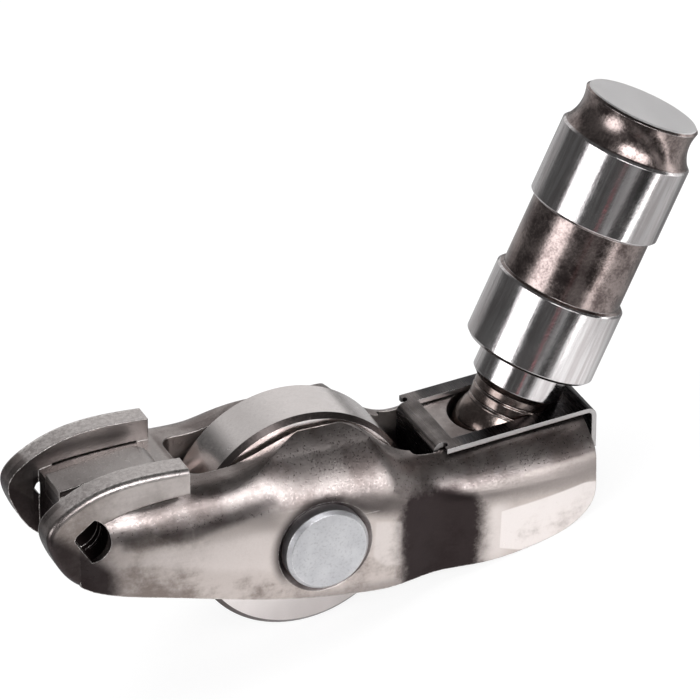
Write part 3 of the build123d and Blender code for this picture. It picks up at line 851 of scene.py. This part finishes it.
@dataclass(frozen=True)
class BluedSpringStrip:
    """Spring steel strip blued in tempering: near black with a cold sheen, silver where it was sheared."""

    name: str = "blued_spring_strip"
    tint: str = "#595655"
    shade: str = "#39373a"
    painted_bar_sheen_tint: str = "#8f8886"
    painted_bar_sheen_shade: str = "#5f5957"
    painted_near_shade_tint: str = "#242224"
    cut_tint: str = "#b4b1b0"
    roughness: float = 0.27
    cloud_mm: float = 2.5
    brush_mm: float = 0.12
    brush_depth_mm: float = 0.004
    edge_mm: float = 0.1
    # The front bar's painted sheen ends here along the arm, the near bar's painted shade begins here across
    # and along it, and shows this much. The sheared edges are duller.
    sheen_front_x: Span = (14.6, 13.9)
    shade_near_y: Span = (-2.6, -3.6)
    shade_near_x: Span = (14.4, 15.4)
    near_shade_share: float = 0.85
    sheared_dullness: float = 0.12

    def build(self) -> Material:
        """Builds the material with rolling streaks, bright sheared edges, a painted sheen on the front bar
        and painted shade on the near bar.

        Returns:
            The material.
        """
        g = PieceGraph(self.name)
        streak = g.noise(self.brush_mm, detail=3, stretch=(1, 16, 1))
        cloud = g.ramp(g.noise(self.cloud_mm, detail=3), 0.3, 0.7)
        _, facing_y, facing_z = g.facing()
        x, y, _ = g.parts(g.place)
        painted_sheen_front = g.sum("MULTIPLY", g.step(x, *self.sheen_front_x), g.ramp(facing_z, 0.3, 0.7))
        painted_near_shade = g.fold("MULTIPLY", g.step(y, *self.shade_near_y), g.step(x, *self.shade_near_x), self.near_shade_share)
        sheared = g.ramp(g.sum("ABSOLUTE", facing_y), 0.9, 0.97)
        worn = g.sum("MULTIPLY", g.edges(self.edge_mm), g.ramp(streak, 0.3, 0.6, 0.1, 0.7))
        colour = g.blend(cloud, self.shade, self.tint)
        # Painted sheen: the front bar's upward faces are painted paler.
        colour = g.blend(painted_sheen_front, colour, g.blend(cloud, self.painted_bar_sheen_shade, self.painted_bar_sheen_tint))
        # Painted shade: the near bar is painted near black.
        colour = g.blend(painted_near_shade, colour, self.painted_near_shade_tint)
        colour = g.blend(g.ramp(streak, 0.6, 0.9, high=0.2), colour, self.tint)
        colour = g.blend(sheared, colour, self.cut_tint)
        colour = g.blend(worn, colour, self.cut_tint)
        roughness = g.ramp(streak, 0.3, 0.7, self.roughness - 0.05, self.roughness + 0.1)
        roughness = g.sum("MULTIPLY_ADD", sheared, self.sheared_dullness, roughness)
        return g.metal(colour, roughness, streak, self.brush_depth_mm, self.edge_mm)


@dataclass(frozen=True)
class MattePinSteel:
    """End of a hardened pin, tumbled to an even matte grey with fine specks, and bright at its chamfer."""

    name: str = "matte_hardened_pin_steel"
    tint: str = "#cdcdcf"
    shade: str = "#c0c0c3"
    speck_tint: str = "#98959a"
    bright_tint: str = "#efeff0"
    roughness: float = 0.45
    speck_mm: float = 0.24
    speck_depth_mm: float = 0.012
    cloud_mm: float = 2.2
    bright_mm: float = 0.18
    bright_share: float = 0.9
    bright_polish: float = 0.2
    edge_mm: float = 0.16

    def build(self) -> Material:
        """Builds the speckled matte material.

        Returns:
            The material.
        """
        g = PieceGraph(self.name)
        speck = g.noise(self.speck_mm, detail=4, roughness=0.6)
        cloud = g.noise(self.cloud_mm, detail=3)
        colour = g.blend(g.ramp(cloud, 0.3, 0.7), self.shade, self.tint)
        colour = g.blend(g.ramp(speck, 0.52, 0.68, high=0.35), colour, self.speck_tint)
        bright = g.edges(self.bright_mm)
        colour = g.blend(g.sum("MULTIPLY", bright, self.bright_share), colour, self.bright_tint)
        roughness = g.ramp(speck, 0.3, 0.7, self.roughness - 0.06, self.roughness + 0.06)
        roughness = g.sum("MULTIPLY_ADD", bright, -self.bright_polish, roughness)
        return g.metal(colour, roughness, speck, self.speck_depth_mm, self.edge_mm)


def dress(names: list[str], material: Material) -> list[str]:
    """Puts a material on CAD nodes.

    Args:
        names: the nodes' names.
        material: what they get.

    Returns:
        The same names.
    """
    for name in names:
        slots = frame["nodes"][name].data.materials
        slots.clear()
        slots.append(material)
    return names


@dataclass
class ArmStamping:
    """The formed channel with its folded rails."""

    finish: TumbledSteel = field(default_factory=TumbledSteel)

    def dress(self) -> list[str]:
        """Gives the stamping its steel and returns the dressed nodes."""
        return dress([Node.ARM.value], self.finish.build())


@dataclass
class RollerBearing:
    """Axle pin, needles, washers and the roller."""

    tread: GroundSteel = field(default_factory=lambda: GroundSteel(
        # Through-hardened ring, ground and honed: satin, a little warm, even all over.
        "honed_roller_steel", "#efe8e6", "#dfd8d5", roughness=0.2, spread=0.03, contrast=0.4,
        line_mm=0.14, line_stretch=(50.0, 1.0, 50.0), line_depth_mm=0.0004,
        # The rim between tread and sides is painted dark as shade.
        edge_mm=0.04, edge_share=0.2, fine_share=0.1, painted_rim_shade="#6f6765",
    ))
    pin: MattePinSteel = field(default_factory=MattePinSteel)
    washer: GroundSteel = field(default_factory=lambda: GroundSteel(
        # Stamped thrust washer, plain grey and slightly oily.
        "stamped_washer_steel", "#9d9893", "#86817d", roughness=0.34, line_stretch=(50.0, 1.0, 50.0),
    ))
    needle: GroundSteel = field(default_factory=lambda: GroundSteel(
        # Lapped bearing steel, mirror-bright.
        "lapped_needle_steel", "#dcdada", "#c9c6c5", roughness=0.1, line_stretch=(50.0, 1.0, 50.0),
    ))

    def dress(self) -> list[str]:
        """Gives each bearing piece its steel.

        Returns:
            The dressed nodes' names.
        """
        needles = sorted(name for name in frame["nodes"] if name.startswith("needle_roller"))
        done = dress([Node.ROLLER.value], self.tread.build())
        done += dress([Node.PIN.value], self.pin.build())
        done += dress([Node.NEAR_WASHER.value, Node.FAR_WASHER.value], self.washer.build())
        done += dress(needles + [Node.CHECK_BALL.value], self.needle.build())
        return done


@dataclass
class SpringClip:
    """The clip that keeps the ball head in its socket."""

    finish: BluedSpringStrip = field(default_factory=BluedSpringStrip)

    def dress(self) -> list[str]:
        """Gives the clip its blued steel and returns the dressed node."""
        return dress([Node.CLIP.value], self.finish.build())


@dataclass(frozen=True)
class Coil:
    """A spring of the adjuster, copied from its CAD node onto the body that carries it."""

    node: Node
    body: str
    joint: str

    @property
    def travel(self) -> float:
        """How far the joint moves, in metres."""
        joints = {joint["name"]: joint for joint in frame["record"]["behaviour"]["joints"]}
        return joints[self.joint]["range_m"][1]

    def build(self, material: Material) -> bpy.types.Object:
        """Stands the coil in the place of its CAD node.

        Args:
            material: the wire's finish.

        Returns:
            The coil's object.
        """
        mesh = frame["nodes"][self.node.value].data.copy()
        coil = bpy.data.objects.new(f"{self.node.value}_coil", mesh)
        bpy.context.scene.collection.objects.link(coil)
        mesh.materials.clear()
        mesh.materials.append(material)
        lean = math.radians(AXES.lean_deg)
        axis = AXES.direction(math.sin(lean), 0.0, math.cos(lean))
        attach(coil, self.body)
        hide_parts(self.node.value)
        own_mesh(coil)
        return coil


@dataclass
class LashAdjuster:
    """Ball-headed plunger, outer body and the valve inside."""

    body: AdjusterSteel = field(default_factory=AdjusterSteel)
    plunger: AdjusterSteel = field(default_factory=lambda: AdjusterSteel(
        # Turned and burnished plunger: a bright collar over a brownish neck and ball.
        "burnished_plunger_steel", brown_tint="#a69993", brown_shade="#7c6e69",
        ground_radius_mm=4.08, end_mm=60.0,
    ))
    wire: GroundSteel = field(default_factory=lambda: GroundSteel(
        # Drawn wire and thin strip, grey and slightly dark from its heat treatment.
        "drawn_spring_wire", "#a3a1a1", "#85807e", roughness=0.26,
    ))
    coils: tuple[Coil, ...] = (
        Coil(Node.PLUNGER_SPRING, "lifter", "lifter_stroke"),
        Coil(Node.CHECK_SPRING, "inner_plunger", "check_ball_lift"),
    )

    def dress(self) -> list[str]:
        """Gives each adjuster piece its steel.

        Returns:
            The dressed nodes' names, and the coils'.
        """
        done = dress([Node.LIFTER.value], self.body.build())
        done += dress([Node.BALL_HEAD.value, Node.LOWER_PLUNGER.value], self.plunger.build())
        wire = self.wire.build()
        done += dress([Node.CAGE.value, Node.RING.value], wire)
        done += [coil.build(wire).name for coil in self.coils]
        return done


@dataclass(frozen=True)
class Softbox:
    """One rectangular lamp that looks at the arm, and that neither camera nor metal shows."""

    name: str
    direction: Triple
    distance: float
    size: tuple[float, float]
    radiance: float

    def build(self, target: Vector) -> bpy.types.Object:
        """Makes the lamp.

        Args:
            target: the point that it looks at.

        Returns:
            The lamp's object.
        """
        data = bpy.data.lights.new(self.name, "AREA")
        data.shape = "RECTANGLE"
        data.size, data.size_y = self.size
        data.energy = self.radiance * math.pi * self.size[0] * self.size[1]
        lamp = bpy.data.objects.new(self.name, data)
        toward = Vector(self.direction).normalized()
        lamp.location = target + toward * self.distance
        lamp.rotation_euler = toward.to_track_quat("Z", "Y").to_euler()
        lamp.visible_camera = False
        lamp.visible_glossy = False
        bpy.context.scene.collection.objects.link(lamp)
        return lamp


@dataclass(frozen=True)
class Glow:
    """Round soft patch of light in the room, as the metal mirrors it."""

    direction: Triple
    full_deg: float
    edge_deg: float
    radiance: Triple

    def add(self, g: Graph, way: Socket) -> Socket:
        """Adds the patch's nodes.

        Args:
            g: the world's graph.
            way: the direction that is looked at.

        Returns:
            The patch's colour at that direction.
        """
        toward = tuple(Vector(self.direction).normalized())
        cosine = g.node("ShaderNodeVectorMath", {"operation": "DOT_PRODUCT"}, {0: way, 1: toward})
        share = g.node("ShaderNodeMapRange", {"interpolation_type": "SMOOTHERSTEP"}, {
            "Value": cosine.outputs["Value"],
            "From Min": math.cos(math.radians(self.edge_deg)),
            "From Max": math.cos(math.radians(self.full_deg)),
        })
        return g.node("ShaderNodeVectorMath", {"operation": "SCALE"}, {
            0: self.radiance, "Scale": share.outputs["Result"],
        }).outputs["Vector"]


@dataclass(frozen=True)
class Fade:
    """Smooth step from low to high, as a place in metres or a side of a direction goes from start to end."""

    start: float
    end: float
    low: float = 0.0
    high: float = 1.0

    def add(self, g: Graph, value: Socket) -> Socket:
        """Adds the step's node and returns its result."""
        return g.ramp(value, self.start, self.end, self.low, self.high)


@dataclass(frozen=True)
class FloorStrip:
    """Narrow glowing strip of floor along X, seen only in the metal."""

    y_mm: float
    half_width_mm: float
    from_x_mm: float
    level: float
    fade_mm: float = 8.0

    def add(self, g: Graph, x: Socket, y: Socket, lit: bpy.types.Node) -> bpy.types.Node:
        """Adds the strip's light to the floor.

        Args:
            g: the floor's graph.
            x: place on the floor along X.
            y: place on the floor along Y.
            lit: the node with the floor's shader so far.

        Returns:
            The node with both shaders added.
        """
        away = g.sum("ABSOLUTE", g.sum("SUBTRACT", y, self.y_mm * MM))
        across = g.step(away, self.half_width_mm, self.half_width_mm / 2)
        along = g.step(x, self.from_x_mm, self.from_x_mm + self.fade_mm, high=self.level)
        strength = g.sum("MULTIPLY", across, along)
        light = g.node("ShaderNodeEmission", inputs={"Color": WHITE, "Strength": strength})
        return g.node("ShaderNodeAddShader", inputs={0: lit.outputs[0], 1: light.outputs[0]})


@dataclass
class Studio:
    """White floor, a soft lamp overhead and the room that the metal mirrors."""

    floor_size: float = 1.6
    aim_mm: Triple = (6.0, 0.0, 14.0)
    lamp: Softbox = Softbox("overhead_softbox", (0.1, 0.1, 1.0), 0.5, (0.5, 0.5), 3.2)
    glows: tuple[Glow, ...] = (
        # A large softbox on the left, two to the right of the camera, and the red trim of a lamp stand.
        Glow((-0.87, -0.25, 0.40), 8.0, 22.0, (3.2, 3.2, 3.25)),
        Glow((0.12, -0.76, 0.62), 6.0, 16.0, (7.5, 7.5, 7.6)),
        Glow((0.44, -0.81, 0.36), 5.0, 16.0, (4.6, 4.6, 4.65)),
        Glow((-0.435, -0.905, 0.0), 0.6, 3.0, (0.40, 0.10, 0.12)),
    )
    # What the camera sees of the floor: how much it takes of the lamp, for the shadow, and its own glow.
    card_grey: float = 0.16
    card_glow: float = 0.88
    # What the metal sees of the floor: its brightness at shares of the way between two places along Y.
    floor_y: tuple[float, float] = (-160.0 * MM, 20.0 * MM)
    floor_stops: tuple[tuple[float, float], ...] = (
        (0.0, 0.32), (0.22, 0.30), (0.30, 0.06), (0.56, 0.06), (0.66, 0.45),
        (0.72, 0.98), (0.86, 0.98), (0.92, 0.45), (1.0, 0.45),
    )
    # Along X it is dimmed where the adjuster's right side mirrors it, and brighter again farther on.
    floor_dimmer: Fade = Fade(34.0 * MM, 46.0 * MM, 1.0, 0.45)
    floor_brighter: Fade = Fade(70.0 * MM, 140.0 * MM, high=2.0)
    strips: tuple[FloorStrip, ...] = (
        # One in front of the adjuster, and the backlit floor under the arm that the roller's side mirrors.
        FloorStrip(-41.0, 6.0, 24.0, 2.6),
        FloorStrip(-3.0, 10.0, -40.0, 0.1),
    )
    # The room is dark, with a pale sweep behind that stays low and leaves out the left but for a skirting.
    room_level: float = 0.09
    sweep_level: float = 0.75
    sweep_behind: Fade = Fade(0.48, 0.76)
    sweep_below: Fade = Fade(0.8, 0.5)
    sweep_right: Fade = Fade(-0.36, -0.14)
    skirting: Fade = Fade(0.22, 0.04, high=0.5)

    def build(self) -> None:
        """Makes the floor, the lamp and the world."""
        self.lamp.build(AXES.point(*self.aim_mm))
        self.floor()
        self.world()

    def floor(self) -> None:
        """Makes the floor: white to the camera, with a faint shadow, and lit in bands in the metal."""
        mesh = bpy.data.meshes.new("floor")
        sheet = bmesh.new()
        bmesh.ops.create_grid(sheet, x_segments=1, y_segments=1, size=self.floor_size / 2)
        sheet.to_mesh(mesh)
        sheet.free()
        floor = bpy.data.objects.new("floor", mesh)
        bpy.context.scene.collection.objects.link(floor)
        g = Graph(bpy.data.materials.new("matte_white_card"))
        x, y, _ = g.parts(g.node("ShaderNodeTexCoord").outputs["Object"])
        depth = g.node("ShaderNodeMapRange", inputs={
            "Value": y, "From Min": self.floor_y[0], "From Max": self.floor_y[1],
        })
        bands = g.node("ShaderNodeValToRGB", inputs={"Fac": depth.outputs["Result"]})
        stops = bands.color_ramp.elements
        for at, _ in self.floor_stops[1:-1]:
            stops.new(at)
        for stop, (_, level) in zip(stops, self.floor_stops):
            stop.color = (level, level, level, 1.0)
        share = g.sum("MAXIMUM", self.floor_dimmer.add(g, x), self.floor_brighter.add(g, x))
        shown = g.node("ShaderNodeVectorMath", {"operation": "SCALE"}, {
            0: bands.outputs["Color"], "Scale": share,
        })
        lit = g.node("ShaderNodeBsdfDiffuse", inputs={"Color": shown.outputs["Vector"]})
        for strip in self.strips:
            lit = strip.add(g, x, y, lit)
        grey = (self.card_grey, self.card_grey, self.card_grey, 1.0)
        faint = g.node("ShaderNodeBsdfDiffuse", inputs={"Color": grey})
        glow = g.node("ShaderNodeEmission", inputs={"Color": WHITE, "Strength": self.card_glow})
        seen = g.node("ShaderNodeAddShader", inputs={0: faint.outputs[0], 1: glow.outputs[0]})
        camera_ray = g.node("ShaderNodeLightPath").outputs["Is Camera Ray"]
        surface = g.node("ShaderNodeMixShader", inputs={0: camera_ray, 1: lit.outputs[0], 2: seen.outputs[0]})
        g.node("ShaderNodeOutputMaterial", inputs={"Surface": surface.outputs[0]})
        mesh.materials.append(g.owner)

    def world(self) -> None:
        """Makes the room: white to the camera; in the metal dark, with soft patches and a pale sweep."""
        world = bpy.data.worlds.new("studio_room")
        bpy.context.scene.world = world
        g = Graph(world)
        way = g.node("ShaderNodeTexCoord").outputs["Generated"]
        x, y, z = g.parts(way)
        wide = g.sum("MAXIMUM", self.sweep_right.add(g, x), self.skirting.add(g, z))
        sweep = g.fold("MULTIPLY", self.sweep_behind.add(g, y), self.sweep_below.add(g, z), wide)
        light = g.node("ShaderNodeMapRange", inputs={
            "Value": sweep, "To Min": self.room_level, "To Max": self.sweep_level,
        }).outputs["Result"]
        for glow in self.glows:
            light = g.node("ShaderNodeVectorMath", {"operation": "ADD"}, {
                0: light, 1: glow.add(g, way),
            }).outputs["Vector"]
        seen = g.blend(g.node("ShaderNodeLightPath").outputs["Is Camera Ray"], light, WHITE)
        room = g.node("ShaderNodeBackground", inputs={"Color": seen, "Strength": 1.0})
        g.node("ShaderNodeOutputWorld", inputs={"Surface": room.outputs[0]})


@dataclass(frozen=True)
class PhotoCamera:
    """Camera at the photograph's viewing angle, given in the arm's own axes."""

    azimuth_deg: float = -23.46
    elevation_deg: float = 29.25
    distance_mm: float = 508.8
    aim_mm: Triple = (5.70, 0.0, 14.19)
    focal_px: float = 5865.0
    frame_px: float = 700.0
    sensor_mm: float = 36.0

    def build(self) -> bpy.types.Object:
        """Makes the camera.

        Returns:
            The camera's object.
        """
        azimuth, elevation = math.radians(self.azimuth_deg), math.radians(self.elevation_deg)
        back = Vector((
            math.sin(azimuth) * math.cos(elevation),
            -math.cos(azimuth) * math.cos(elevation),
            math.sin(elevation),
        ))
        right = Vector((math.cos(azimuth), math.sin(azimuth), 0.0))
        up = back.cross(right)
        sides = [AXES.direction(*side) for side in (right, up, back)]
        turn = Matrix(sides).transposed().to_4x4()
        data = bpy.data.cameras.new("photo_camera")
        data.sensor_width = self.sensor_mm
        data.lens = self.focal_px * self.sensor_mm / self.frame_px
        data.clip_start, data.clip_end = 0.01, 10.0
        camera = bpy.data.objects.new("photo_camera", data)
        place = AXES.point(*self.aim_mm) + sides[2] * self.distance_mm * MM
        camera.matrix_world = Matrix.Translation(place) @ turn
        bpy.context.scene.collection.objects.link(camera)
        bpy.context.scene.camera = camera
        return camera


def main() -> None:
    logging.basicConfig(level=logging.INFO, format="%(name)s: %(message)s")
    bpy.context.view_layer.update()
    for part in (ArmStamping(), RollerBearing(), SpringClip(), LashAdjuster()):
        for name in part.dress():
            LOG.info("%s dressed by %s", name, type(part).__name__)
    Studio().build()
    PhotoCamera().build()
    bpy.context.scene.view_settings.view_transform = "Standard"
    bpy.context.view_layer.update()


if __name__ == "__main__":
    main()
